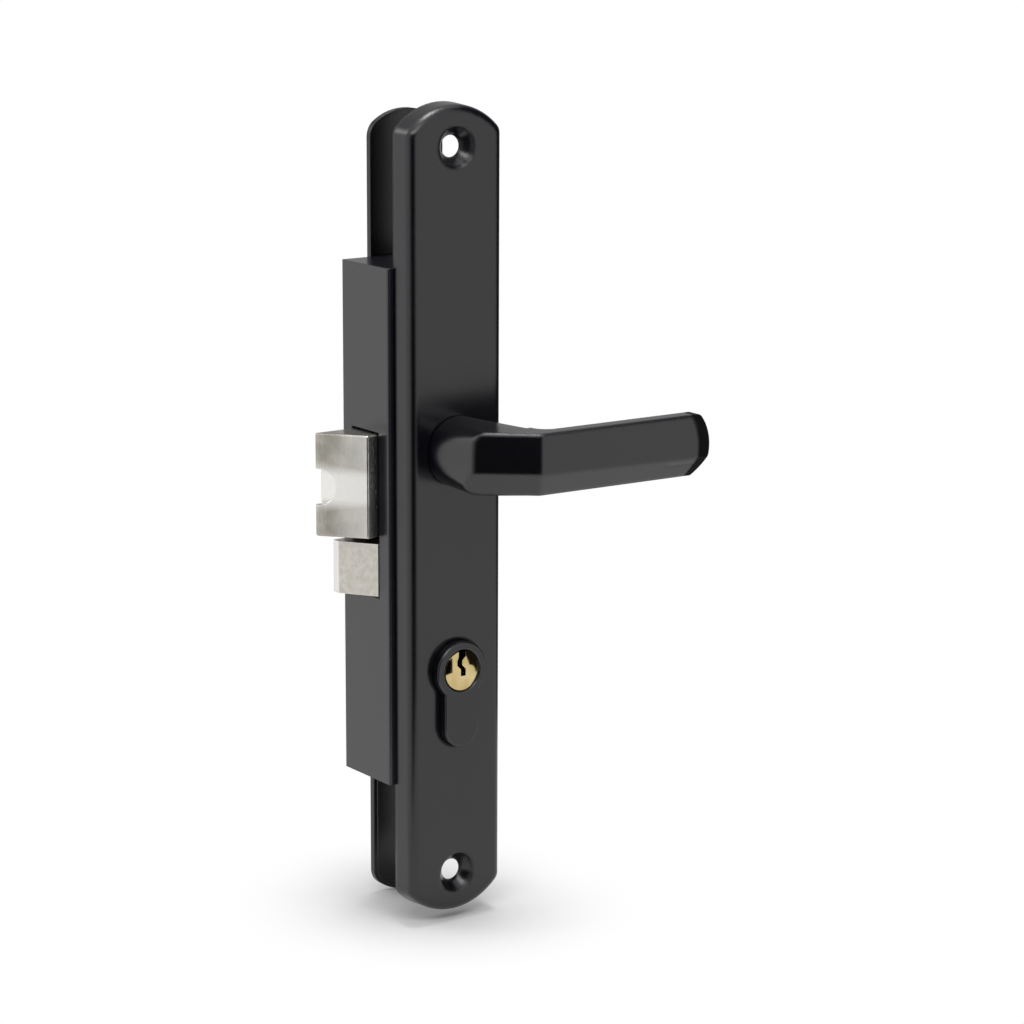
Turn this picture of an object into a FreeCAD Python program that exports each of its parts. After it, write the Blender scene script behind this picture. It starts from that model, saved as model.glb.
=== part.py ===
import FreeCAD, Part
import math
import os

# Handle lock for a narrow door stile: a lever and a half cylinder on a cast front plate,
# a flat case with a sprung latch bolt and a sprung auxiliary bolt, and a blank rear plate.
# Millimetres. X runs along the plate's width towards the lever's tip, Y runs into the door
# and Z runs up. The origin is on the lever's axis, in the plane where the front plate
# seats on the door and on the case.

# Fits
slide_gap = 0.2
turn_gap = 0.1
press_gap = 0.05
running_gap = 0.4
window_gap = 0.6

# Helpers of the construction: how far a cutting shape runs past a surface, the distance within
# which two places count as one, and the share of a snap ring's bore that its mouth leaves open
overrun = 1.0
same_place = 0.01
ring_mouth = 0.6

# Front plate
plate_length = 250.8
plate_width = 34.4
plate_above_axis = 104.4
plate_depth = 8.5
plate_wall = 2.0
plate_draft = 0.6
plate_edge_radius = 2.5
plate_end_rise = 8.0
plate_corner_radius = 4.0

# Plate screws
screw_spacing = 225.0
screw_hole_radius = 3.3
screw_sink_radius = 6.15
screw_sink_recess = 0.7
screw_boss_radius = 8.0
screw_boss_depth = 3.9

# Rear plate
rear_length = 249.6
rear_width = 26.6
rear_depth = 3.0
rear_wall = 1.5
rear_edge_bevel = 1.0
rear_end_rise = 5.6
rear_corner_radius = 6.0
rear_hole_radius = 4.1
rear_sink = 1.2
rear_shift = 5.0
rear_drop = 3.4

# Lock case
backset = 19.0
case_width = 36.0
case_thickness = 25.4
case_height = 160.0
case_above_axis = 55.8
case_wall = 1.8
case_edge_radius = 0.8
cover_thickness = 1.6
pillar_width = 6.0
pillar_rivet_radius = 1.8
pillar_inset_x = 5.0
pillar_inset_z = 6.5
cover_screw_radius = 1.5
cover_screw_head_radius = 2.9
cover_screw_length = 8.0

# Lever
lever_top = 9.8
neck_radius = 10.8
neck_left = 8.7
neck_right = 11.3
neck_corner_radius = 2.2
neck_side_angle = 20.0
neck_blend_radius = 4.0
bend_x = 6.6
grip_stand_off = 34.2
grip_thickness = 6.6
grip_toe_out = 1.6
facet_angle = 39.8
grip_length = 65.5
grip_end_radius = 18.1
crease_drop = 2.4
crease_fall = 1.2
chamfer_depth = 4.7
facet_chamfer_depth = 5.3
lever_edge_radius = 0.8
grip_back_radius = 1.5
cap_tip = 4.1
cap_end_radius = 14.5
cap_edge_bevel = 0.8
cap_spigot_length = 9.0
cap_spigot_height = 10.0
cap_spigot_thickness = 3.0

# Lever bearing, stops and spring
hub_radius = 8.0
bush_wall = 1.1
bush_flange_radius = 10.5
bush_flange = 0.4
ring_groove_radius = 7.2
ring_radius = 9.9
ring_thickness = 0.9
stop_plate_thickness = 1.2
stop_plate_radius = 10.6
stop_ear_reach = 14.3
stop_ear_width = 6.0
stop_post_radius = 1.9
stop_post_circle = 12.9
lever_spring_wire = 1.2
lever_spring_radius = 9.4
lever_spring_turns = 1.25
spindle_width = 8.0
spindle_in_lever = 17.5
grub_radius = 2.5
grub_from_plate = 6.0
grub_key_width = 2.5
grub_length = 5.5
lever_travel = 45.0

# Follower
follower_disc_radius = 9.4
follower_thickness = 3.6
follower_arm = 17.6
follower_lean = 20.0
follower_nose_radius = 2.8
follower_arm_width = 3.6
follower_contact = 1.4

# Latch bolt
bolt_front = 6.0
bolt_thickness = 13.6
latch_edge_radius = 0.6
latch_tip_flat = 1.5
latch_top = 4.75
latch_height = 31.85
latch_straight = 3.6
latch_throw = 13.8
latch_shank_end = 1.0
latch_notch_top = 10.9
latch_notch_height = 11.2
latch_notch_length = 6.9
latch_notch_depth = 1.8
latch_notch_radius = 5.5
tail_thickness = 2.0
tail_left = 9.0
tail_bar_width = 6.0
tail_top_margin = 2.5
lug_thickness = 2.0
foot_height = 3.5
foot_reach = 8.0
latch_rivet_radius = 1.5
latch_rivet_inset = 5.1
latch_bore_radius = 4.0
latch_bore_depth = 14.0
latch_bore_rise = 12.7
latch_spring_wire = 0.9
latch_spring_turns = 6
latch_pin_radius = 2.0

# Auxiliary bolt
aux_gap = 2.1
aux_height = 16.3
aux_throw = 7.5
aux_edge_radius = 0.3
aux_tip_flat = 2.8
aux_shank_end = -1.0
aux_shank_recess = 2.4
aux_heel = 1.6
aux_bore_radius = 3.0
aux_bore_depth = 11.0
aux_spring_wire = 0.7
aux_spring_turns = 7
aux_pin_radius = 1.2

# Half cylinder
centre_distance = 68.0
cylinder_radius = 9.0
cylinder_leg = 6.2
cylinder_drop = 24.2
cylinder_stand_out = 3.1
cylinder_stub = 4.0
cylinder_edge_bevel = 0.4
bore_mouth_bevel = 0.3
plug_radius = 6.5
plug_edge_bevel = 0.35
plug_tail_radius = 4.2
plug_recess = 0.15
cam_width = 9.0
cam_ring_radius = 8.2
cam_reach = 13.5
cam_bit_width = 7.0
cam_middle = 12.6
plug_ring_radius = 5.6
plug_ring_thickness = 0.8
plug_groove_depth = 0.6
pin_count = 5
pin_pitch = 3.3
pin_radius = 1.35
pin_first = 4.4
driver_pin_length = 5.2
pin_spring_wire = 0.45
pin_spring_turns = 3
pin_spring_length = 6.5
cylinder_screw_radius = 2.5
cylinder_screw_head_radius = 4.2
cylinder_screw_head = 2.0
cylinder_screw_bevel = 0.6
keyway_mouth = 2.6
keyway_width = 1.8
keyway_jog = 1.3
keyway_upper_jog = 3.8
keyway_lower_jog = 1.1
keyway_floor = 1.7

# Places that follow from the sizes above
plate_half = plate_width / 2
plate_middle = plate_above_axis - plate_length / 2
plate_face = -plate_depth
plate_floor = plate_face + plate_wall
screw_heights = [plate_middle + screw_spacing / 2, plate_middle - screw_spacing / 2]
case_left = -backset
case_right = case_width - backset
case_bottom = case_above_axis - case_height
room_left = case_left + case_wall
room_right = case_right - case_wall
room_top = case_above_axis - case_wall
room_bottom = case_bottom + case_wall
room_rear = case_thickness - cover_thickness
pillar_places = [
    (x, z)
    for x in (room_left + pillar_inset_x, room_right - pillar_inset_x)
    for z in (room_bottom + pillar_inset_z, room_top - pillar_inset_z)
]
grip_face = plate_face - grip_stand_off
grip_back = grip_face + grip_thickness
neck_end = plate_face - bush_flange - turn_gap
hub_end = -stop_plate_thickness - 2 * running_gap
ring_front = plate_floor + running_gap
follower_front = case_wall + turn_gap
follower_rear = follower_front + follower_thickness
latch_travel = follower_arm * math.radians(lever_travel)
bolt_middle = bolt_front + bolt_thickness / 2
bolt_rear = bolt_front + bolt_thickness
latch_bottom = latch_top - latch_height
latch_tip = case_left - latch_throw
latch_bore_height = latch_bottom + latch_bore_rise
nose_x = -follower_arm * math.sin(math.radians(follower_lean))
nose_z = follower_arm * math.cos(math.radians(follower_lean))
lug_left = nose_x + follower_nose_radius + turn_gap
lug_bottom = nose_z - follower_contact
lug_top = follower_arm + follower_nose_radius
aux_top = latch_bottom - aux_gap
aux_bottom = aux_top - aux_height
aux_tip = case_left - aux_throw
aux_bore_height = (aux_top + aux_bottom) / 2
cylinder_front = plate_face - cylinder_stand_out
cam_front = cam_middle - cam_width / 2
cam_rear = cam_middle + cam_width / 2
cylinder_rear = cam_rear + cylinder_stub
bridge_top = cam_reach + running_gap
foot_bottom = cam_reach + running_gap - centre_distance


def vec(x, y, z):
    return FreeCAD.Vector(x, y, z)


def box(x0, x1, y0, y1, z0, z1):
    return Part.makeBox(x1 - x0, y1 - y0, z1 - z0, vec(x0, y0, z0))


def rod_y(radius, y0, y1, x=0.0, z=0.0):
    return Part.makeCylinder(radius, y1 - y0, vec(x, y0, z), vec(0, 1, 0))


def rod_x(radius, x0, x1, y, z):
    return Part.makeCylinder(radius, x1 - x0, vec(x0, y, z), vec(1, 0, 0))


def rod_z(radius, z0, z1, x, y):
    return Part.makeCylinder(radius, z1 - z0, vec(x, y, z0), vec(0, 0, 1))


def plug_rod(radius, y0, y1):
    return rod_y(radius, y0, y1, 0, -centre_distance)


def cone_y(radius0, radius1, y0, y1, x=0.0, z=0.0):
    return Part.makeCone(radius0, radius1, y1 - y0, vec(x, y0, z), vec(0, 1, 0))


def hexagon_y(width, y0, y1, x=0.0, z=0.0):
    radius = width / math.sqrt(3)
    turns = [math.radians(60 * i) for i in range(6)]
    return prism_y([(x + radius * math.cos(a), z + radius * math.sin(a)) for a in turns], y0, y1)


def prism_y(points, y0, y1):
    corners = [vec(x, y0, z) for x, z in points]
    face = Part.Face(Part.makePolygon(corners + corners[:1]))
    return face.extrude(vec(0, y1 - y0, 0))


def prism_z(points, z0, z1):
    corners = [vec(x, y, z0) for x, y in points]
    face = Part.Face(Part.makePolygon(corners + corners[:1]))
    return face.extrude(vec(0, 0, z1 - z0))


def arc_edge(start, middle, end):
    return Part.Arc(start, middle, end).toShape()


def line_edge(start, end):
    return Part.LineSegment(start, end).toShape()


def fuse(first, *others):
    return first.fuse(list(others)).removeSplitter()


def coil(radius, wire, turns, height, sides, steps):
    # Straight runs between flat-sided sections, few enough to keep a wound spring light.
    count = round(turns * steps)
    sections = []
    for i in range(count + 1):
        turn = 2 * math.pi * turns * i / count
        corners = []
        for k in range(sides):
            corner = 2 * math.pi * k / sides
            out = radius + wire / 2 * math.cos(corner)
            rise = height * i / count + wire / 2 * math.sin(corner)
            corners.append(vec(out * math.cos(turn), out * math.sin(turn), rise))
        sections.append(Part.makePolygon(corners + corners[:1]))
    return Part.makeLoft(sections, True, True)


def bolt_spring(radius, wire, turns, start, z):
    # Lies along X between the end of a bolt's bore and the case's far wall.
    spring = coil(radius, wire, turns, room_right - start - wire, 6, 10)
    spring.rotate(vec(0, 0, 0), vec(0, 1, 0), 90)
    spring.translate(vec(start + wire / 2, bolt_middle, z))
    return spring


def end_radius(half, rise):
    # Radius of the arc that rises this much over the width of a plate.
    return (half**2 + rise**2) / (2 * rise)


def end_points(half, top, large, small):
    # Corner of the outline: the small arc is tangent to the side and to the large end arc.
    across = half - small
    rise = math.sqrt((large - small) ** 2 - across**2)
    corner = (across, top - large + rise)
    turn = math.atan2(rise, across)
    join = (large * math.cos(turn), top - large + large * math.sin(turn))
    middle = (
        corner[0] + small * math.cos(turn / 2),
        corner[1] + small * math.sin(turn / 2),
    )
    return corner[1], middle, join


def plate_wire(y, half, reach, large, small):
    side, middle, join = end_points(half, reach, large, small)

    def at(x, z):
        return vec(x, y, plate_middle + z)

    return Part.Wire(
        [
            line_edge(at(half, -side), at(half, side)),
            arc_edge(at(half, side), at(*middle), at(*join)),
            arc_edge(at(*join), at(0, reach), at(-join[0], join[1])),
            arc_edge(at(-join[0], join[1]), at(-middle[0], middle[1]), at(-half, side)),
            line_edge(at(-half, side), at(-half, -side)),
            arc_edge(at(-half, -side), at(-middle[0], -middle[1]), at(-join[0], -join[1])),
            arc_edge(at(-join[0], -join[1]), at(0, -reach), at(join[0], -join[1])),
            arc_edge(at(join[0], -join[1]), at(middle[0], -middle[1]), at(half, -side)),
        ]
    )


def front_block(seat, face, draft, inset=0.0):
    wires = []
    large = end_radius(plate_half, plate_end_rise)
    for y, d in ((seat, inset), (face, inset + draft)):
        sizes = (plate_half - d, plate_length / 2 - d, large - d, plate_corner_radius - d)
        wires.append(plate_wire(y, *sizes))
    return Part.makeLoft(wires, True, True)


def rear_block(seat, face, inset=0.0):
    half = rear_width / 2 - inset
    radii = (end_radius(rear_width / 2, rear_end_rise) - inset, rear_corner_radius - inset)
    outline = plate_wire(seat, half, rear_length / 2 - inset, *radii)
    return Part.Face(outline).extrude(vec(0, face - seat, 0))


def edges_at(shape, y):
    return [e for e in shape.Edges if all(abs(v.Y - y) < same_place for v in e.Vertexes)]


def cylinder_profile(y0, y1, grow=0.0):
    radius = cylinder_radius + grow
    leg = cylinder_leg + grow
    low = cylinder_leg - cylinder_drop
    join = -math.sqrt(radius**2 - leg**2)

    def at(x, z):
        return vec(x, y0, z - centre_distance)

    wire = Part.Wire(
        [
            arc_edge(at(leg, join), at(0, radius), at(-leg, join)),
            line_edge(at(-leg, join), at(-leg, low)),
            arc_edge(at(-leg, low), at(0, low - leg), at(leg, low)),
            line_edge(at(leg, low), at(leg, join)),
        ]
    )
    return Part.Face(wire).extrude(vec(0, y1 - y0, 0))


def front_plate():
    block = front_block(0.0, plate_face, plate_draft)
    block = block.makeFillet(plate_edge_radius, edges_at(block, plate_face))
    hollow_draft = plate_draft * (plate_depth - plate_wall) / plate_depth
    plate = block.cut(front_block(0.0, plate_floor, hollow_draft, plate_wall))
    root = plate_face + plate_wall / 2
    for z in screw_heights:
        plate = plate.fuse(rod_y(screw_boss_radius, root, plate_face + screw_boss_depth, 0, z))
    lean = math.radians(stop_lean())
    for side in (-1, 1):
        x = side * stop_post_circle * math.sin(lean)
        z = stop_post_circle * math.cos(lean)
        plate = plate.fuse(rod_y(stop_post_radius, root, -running_gap, x, z))
    cone_end = plate_face + screw_sink_recess + screw_sink_radius - screw_hole_radius
    for z in screw_heights:
        sink = rod_y(screw_sink_radius, plate_face - overrun, plate_face + screw_sink_recess, 0, z)
        cone = cone_y(screw_sink_radius, screw_hole_radius, plate_face + screw_sink_recess, cone_end, 0, z)
        plate = plate.cut([sink, cone, rod_y(screw_hole_radius, plate_face, 0, 0, z)])
    plate = plate.cut(rod_y(hub_radius + bush_wall, plate_face - overrun, 0))
    return plate.cut(cylinder_profile(plate_face - overrun, 0, slide_gap)).removeSplitter()


def stop_lean():
    # Angle of each stop post from the vertical, so that the ear meets a post at both ends of its travel.
    ear = math.degrees(math.asin(stop_ear_width / 2 / stop_post_circle))
    post = math.degrees(math.asin((stop_post_radius + slide_gap) / stop_post_circle))
    return lever_travel / 2 + ear + post


def rear_plate():
    back = case_thickness + rear_depth
    floor = back - rear_wall
    block = rear_block(case_thickness, back)
    block = block.makeChamfer(rear_edge_bevel, edges_at(block, back))
    plate = block.cut(rear_block(case_thickness, floor, rear_wall))
    for z in screw_heights:
        hole = rod_y(rear_hole_radius, floor - overrun, back + overrun, 0, z)
        sink = cone_y(rear_hole_radius, rear_hole_radius + rear_sink, back - rear_sink, back, 0, z)
        plate = plate.cut([hole, sink])
    plate.translate(vec(rear_shift, 0, -rear_drop))
    return plate


def bolt_window():
    return box(
        case_left - overrun,
        room_left + overrun,
        bolt_front - window_gap,
        bolt_rear + window_gap,
        aux_bottom - window_gap,
        latch_top + window_gap,
    )


def lock_case():
    block = box(case_left, case_right, 0, case_thickness, case_bottom, case_above_axis)
    upright = [e for e in block.Edges if abs(e.tangentAt(0).z) > 0.99]
    block = block.makeFillet(case_edge_radius, upright)
    room = box(room_left, room_right, case_wall, case_thickness + overrun, room_bottom, room_top)
    case = block.cut([room, bolt_window()])
    case = case.cut(rod_y(hub_radius + turn_gap, -overrun, case_wall + overrun))
    case = case.cut(cylinder_profile(-overrun, case_wall + overrun, slide_gap))
    for x, z in pillar_places:
        case = case.cut(rod_y(pillar_rivet_radius, -overrun, case_wall + overrun, x, z))
    wall = (room_right - overrun, case_right + overrun)
    case = case.cut(rod_x(latch_pin_radius, *wall, bolt_middle, latch_bore_height))
    case = case.cut(rod_x(aux_pin_radius, *wall, bolt_middle, aux_bore_height))
    screw_place = (cam_middle, cylinder_screw_height())
    return case.cut(rod_x(cylinder_screw_radius + turn_gap, *wall, *screw_place)).removeSplitter()


def case_cover():
    cover = box(
        room_left + turn_gap,
        room_right - turn_gap,
        room_rear,
        case_thickness,
        room_bottom + turn_gap,
        room_top - turn_gap,
    )
    radii = (cover_screw_radius, cover_screw_head_radius)
    sink_floor = case_thickness - (cover_screw_head_radius - cover_screw_radius)
    for x, z in pillar_places:
        sink = cone_y(*radii, sink_floor, case_thickness, x, z)
        hole = rod_y(cover_screw_radius + turn_gap, room_rear - overrun, case_thickness, x, z)
        cover = cover.cut([sink, hole])
    return cover


def case_pillars():
    pillars = []
    for x, z in pillar_places:
        pillar = hexagon_y(pillar_width, case_wall, room_rear, x, z)
        pillar = fuse(pillar, rod_y(pillar_rivet_radius, 0, case_wall, x, z))
        thread_end = case_thickness - cover_screw_length - running_gap
        thread = rod_y(cover_screw_radius + press_gap, thread_end, room_rear + overrun, x, z)
        pillars.append(pillar.cut(thread))
    return Part.Compound(pillars)


def cover_screws():
    screws = []
    sink_depth = cover_screw_head_radius - cover_screw_radius - turn_gap
    radii = (cover_screw_radius, cover_screw_head_radius - turn_gap)
    top = case_thickness - press_gap
    for x, z in pillar_places:
        shank = rod_y(cover_screw_radius, case_thickness - cover_screw_length, top, x, z)
        head = cone_y(*radii, top - sink_depth, top, x, z)
        slot = box(
            x - cover_screw_head_radius,
            x + cover_screw_head_radius,
            case_thickness - sink_depth / 2,
            case_thickness + overrun,
            z - turn_gap * 3,
            z + turn_gap * 3,
        )
        screws.append(fuse(shank, head).cut(slot))
    return Part.Compound(screws)


def neck_loft():
    # Eight matched edges: four long sides and four corners, on the round seat and on the squared end.
    turns = []
    for quarter in range(4):
        turns += [90 * quarter - neck_side_angle, 90 * quarter + neck_side_angle]

    def round_wire(y, radius):
        edges = []
        for i, start in enumerate(turns):
            end = turns[(i + 1) % 8] + (360 if i == 7 else 0)
            points = []
            for angle in (start, (start + end) / 2, end):
                a = math.radians(angle)
                points.append(vec(radius * math.cos(a), y, radius * math.sin(a)))
            edges.append(arc_edge(*points))
        return Part.Wire(edges)

    def square_wire(y):
        c = neck_corner_radius
        k = c * (1 - math.sqrt(0.5))
        left, right, top = -neck_left, neck_right, lever_top
        corners = [(right, top, -1, -1), (left, top, 1, -1), (left, -top, 1, 1), (right, -top, -1, 1)]
        starts = [(right, -top + c), (right - c, top), (left, top - c), (left + c, -top)]
        ends = [(right, top - c), (left + c, top), (left, -top + c), (right - c, -top)]
        edges = []
        for i in range(4):
            x, z, dx, dz = corners[i]
            following = starts[(i + 1) % 4]
            edges.append(line_edge(vec(starts[i][0], y, starts[i][1]), vec(ends[i][0], y, ends[i][1])))
            edges.append(
                arc_edge(
                    vec(ends[i][0], y, ends[i][1]),
                    vec(x + dx * k, y, z + dz * k),
                    vec(following[0], y, following[1]),
                )
            )
        return Part.Wire(edges)

    return Part.makeLoft([round_wire(neck_end, neck_radius), square_wire(grip_back)], True, True)


def grip_blank():
    # Plan of the grip, with its hollow blend into the neck, raised to the lever's height and cut
    # along its lower front edge.
    reach = 2 * grip_length
    r = neck_blend_radius
    middle = r * (1 - math.sqrt(0.5))
    right = neck_right
    hollow = [(right + r, grip_back), (right + middle, grip_back + middle), (right, grip_back + r)]

    def at(x, y):
        return vec(x, y, -lever_top)

    wire = Part.Wire(
        [
            line_edge(at(-neck_left, grip_face), at(reach, grip_face)),
            line_edge(at(reach, grip_face), at(reach, grip_back)),
            line_edge(at(reach, grip_back), at(right + r, grip_back)),
            arc_edge(*[at(x, y) for x, y in hollow]),
            line_edge(at(right, grip_back + r), at(0, grip_back + r)),
            line_edge(at(0, grip_back + r), at(0, grip_back)),
            line_edge(at(0, grip_back), at(-neck_left, grip_back)),
            line_edge(at(-neck_left, grip_back), at(-neck_left, grip_face)),
        ]
    )
    blank = Part.Face(wire).extrude(vec(0, 0, 2 * lever_top))
    level = [e for e in blank.Edges if abs(e.BoundBox.ZLength) < same_place]
    behind = [e for e in level if e.BoundBox.YMin > grip_back - same_place]
    blank = blank.makeFillet(grip_back_radius, [e for e in behind if e.BoundBox.XMin > right - same_place])
    slope = (lever_top - crease_drop) / chamfer_depth
    fall = crease_fall / grip_length
    start = [vec(bend_x, grip_face + depth, z) for depth, z in wedge(slope, chamfer_depth)]
    section = Part.Face(Part.makePolygon(start + start[:1]))
    ahead = section.extrude(vec(reach, 0, -fall * reach))
    return blank.cut([ahead, section.extrude(vec(-reach, 0, fall * reach))])


def wedge(slope, depth):
    # Section below a sloping plane through the crease: depth from the front surface, and height.
    over = -crease_drop + 4 * slope
    beyond = depth + 4
    under = -crease_drop - beyond * slope
    return [(-4, over), (beyond, under), (-4, under)]


def end_region(length, radius):
    # What lies short of the large arc across the end of the grip or of its cap.
    tall = lever_top + overrun
    sag = radius - math.sqrt(radius**2 - tall**2)
    far = -2 * grip_length

    def at(x, z):
        return vec(x, grip_face - overrun, z)

    wire = Part.Wire(
        [
            line_edge(at(far, tall), at(length - sag, tall)),
            arc_edge(at(length - sag, tall), at(length, 0), at(length - sag, -tall)),
            line_edge(at(length - sag, -tall), at(far, -tall)),
            line_edge(at(far, -tall), at(far, tall)),
        ]
    )
    return Part.Face(wire).extrude(vec(0, grip_thickness + neck_blend_radius + 2, 0))


def toe_out(shape):
    shape.rotate(vec(bend_x, grip_face, 0), vec(0, 0, 1), -grip_toe_out)
    return shape


def facet_cutter(reach):
    # Everything in front of the slanted facet that joins the neck to the grip.
    lean = math.radians(facet_angle)
    far = (bend_x - reach * math.cos(lean), grip_face + reach * math.sin(lean))
    points = [(bend_x, grip_face), far, (far[0] - reach, far[1] - reach), (bend_x, grip_face - reach)]
    return prism_z(points, -reach, reach)


def facet_chamfer(reach):
    # The sloping face under the facet.
    lean = math.radians(facet_angle)
    slope = (lever_top - crease_drop) / facet_chamfer_depth
    corners = []
    for depth, z in wedge(slope, facet_chamfer_depth):
        corners.append(vec(bend_x + math.sin(lean) * depth, grip_face + math.cos(lean) * depth, z))
    section = Part.Face(Part.makePolygon(corners + corners[:1]))
    run = vec(math.cos(lean) * reach, -math.sin(lean) * reach, 0)
    return section.extrude(run).fuse(section.extrude(run * -1))


def soft_edges(body):
    # Edges of the lever's four front faces: those between them and those along the top.
    fronts = [f for f in body.Faces if isinstance(f.Surface, Part.Plane) and f.normalAt(0, 0).y < -0.5]
    edges = []
    for i, face in enumerate(fronts):
        others = [e for other in fronts[i + 1 :] for e in other.Edges]
        for edge in face.Edges:
            between = any(edge.isSame(other) for other in others)
            above = all(v.Z > lever_top - same_place for v in edge.Vertexes)
            if between or above:
                edges.append(edge)
    return edges


def lever_handle():
    reach = 2 * grip_length
    grip = toe_out(grip_blank().common(end_region(grip_length, grip_end_radius)))
    body = neck_loft().fuse(grip).cut(facet_cutter(reach))
    body = body.cut(facet_chamfer(reach)).removeSplitter()
    body = body.makeFillet(lever_edge_radius, soft_edges(body))
    hub = rod_y(hub_radius, neck_end, hub_end)
    groove = rod_y(hub_radius + overrun, ring_front, ring_front + ring_thickness)
    groove = groove.cut(rod_y(ring_groove_radius, ring_front, ring_front + ring_thickness))
    body = fuse(body, hub).cut(groove)
    half = spindle_width / 2 + press_gap
    socket_end = plate_face - spindle_in_lever - running_gap
    body = body.cut(box(-half, half, socket_end, hub_end, -half, half))
    body = body.cut(toe_out(cap_socket(press_gap)))
    return body.cut(rod_z(grub_radius + press_gap, -2 * neck_radius, -half, 0, plate_face - grub_from_plate))


def cap_socket(gap):
    middle = (grip_face + grip_back) / 2
    half = cap_spigot_thickness / 2 + gap
    high = cap_spigot_height / 2 + gap
    start = grip_length - cap_spigot_length - grip_end_sag() - 2 * gap
    return box(start, grip_length + overrun, middle - half, middle + half, -high, high)


def grip_end_sag():
    return grip_end_radius - math.sqrt(grip_end_radius**2 - lever_top**2)


def lever_end_cap():
    # Slice of the grip's own section past its end, bevelled round all but its rear edge.
    cap = grip_blank().cut(end_region(grip_length + press_gap, grip_end_radius))
    cap = cap.common(end_region(grip_length + cap_tip, cap_end_radius))
    outer = max(cap.Faces, key=lambda face: face.CenterOfMass.x)
    limit = grip_back - grip_back_radius + same_place
    cap = cap.makeChamfer(cap_edge_bevel, [e for e in outer.Edges if all(v.Y < limit for v in e.Vertexes)])
    spigot = cap_socket(0.0).common(end_region(grip_length + cap_tip / 2, cap_end_radius))
    return toe_out(fuse(cap, spigot))


def lever_bush():
    sleeve = rod_y(hub_radius + bush_wall, plate_face, plate_floor)
    flange = rod_y(bush_flange_radius, plate_face - bush_flange, plate_face)
    return fuse(sleeve, flange).cut(rod_y(hub_radius + press_gap, plate_face - overrun, 0))


def retaining_ring():
    rear = ring_front + ring_thickness - press_gap
    ring = rod_y(ring_radius, ring_front + press_gap, rear)
    ring = ring.cut(rod_y(ring_groove_radius + press_gap, ring_front, rear + overrun))
    mouth = ring_groove_radius * ring_mouth
    return ring.cut(box(-mouth, mouth, ring_front, rear + overrun, -2 * ring_radius, 0))


def stop_plate():
    rear = -running_gap
    front = rear - stop_plate_thickness
    disc = rod_y(stop_plate_radius, front, rear)
    ear = box(-stop_ear_width / 2, stop_ear_width / 2, front, rear, 0, stop_ear_reach)
    ear.rotate(vec(0, 0, 0), vec(0, 1, 0), -lever_travel / 2)
    half = spindle_width / 2 + press_gap
    return fuse(disc, ear).cut(box(-half, half, front - overrun, rear + overrun, -half, half))


def lever_spring():
    # Round the hub between the retaining ring and the stop plate, with a short leg at each end.
    front = ring_front + ring_thickness + slide_gap
    height = -running_gap - stop_plate_thickness - slide_gap - front - lever_spring_wire
    spring = coil(lever_spring_radius, lever_spring_wire, lever_spring_turns, height, 6, 24)
    spring.rotate(vec(0, 0, 0), vec(1, 0, 0), -90)
    spring.translate(vec(0, front + lever_spring_wire / 2, 0))
    return spring


def spindle():
    half = spindle_width / 2
    return box(-half, half, plate_face - spindle_in_lever, follower_rear - turn_gap, -half, half)


def grub_screw():
    top = -spindle_width / 2 - press_gap
    y = plate_face - grub_from_plate
    screw = rod_z(grub_radius, top - grub_length, top, 0, y)
    key = hexagon_y(grub_key_width, 0, grub_length / 2)
    key.rotate(vec(0, 0, 0), vec(1, 0, 0), 90)
    key.translate(vec(0, y, top - grub_length))
    return screw.cut(key)


def follower():
    journal = rod_y(hub_radius, 0, follower_front)
    disc = rod_y(follower_disc_radius, follower_front, follower_rear)
    nose = rod_y(follower_nose_radius, follower_front, follower_rear, 0, follower_arm)
    half = follower_arm_width / 2
    arm = box(-half, half, follower_front, follower_rear, 0, follower_arm)
    arm = fuse(arm, nose)
    arm.rotate(vec(0, 0, 0), vec(0, 1, 0), -follower_lean)
    half = spindle_width / 2 + press_gap
    return fuse(journal, disc, arm).cut(box(-half, half, -overrun, follower_rear + overrun, -half, half))


def bevel_run():
    return case_left - latch_straight - latch_tip


def latch_bolt():
    outline = [
        (latch_shank_end, bolt_front),
        (case_left - latch_straight, bolt_front),
        (latch_tip, bolt_rear - latch_tip_flat),
        (latch_tip, bolt_rear),
        (latch_shank_end, bolt_rear),
    ]
    bolt = prism_z(outline, latch_bottom, latch_top)
    outside = [e for e in bolt.Edges if min(v.X for v in e.Vertexes) < case_left]
    bolt = bolt.makeFillet(latch_edge_radius, outside)
    bolt = bolt.cut(latch_notch())
    bore = (latch_shank_end - latch_bore_depth, latch_shank_end + overrun)
    bolt = bolt.cut(rod_x(latch_bore_radius, *bore, bolt_middle, latch_bore_height))
    recess = box(
        -tail_left - slide_gap,
        latch_shank_end + overrun,
        bolt_front - overrun,
        bolt_front + tail_thickness,
        latch_bottom - overrun,
        latch_top + overrun,
    )
    bolt = bolt.cut(recess)
    for z in rivet_heights():
        bolt = bolt.cut(rod_y(latch_rivet_radius, bolt_front, bolt_rear + overrun, rivet_x(), z))
    return bolt.removeSplitter()


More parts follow.
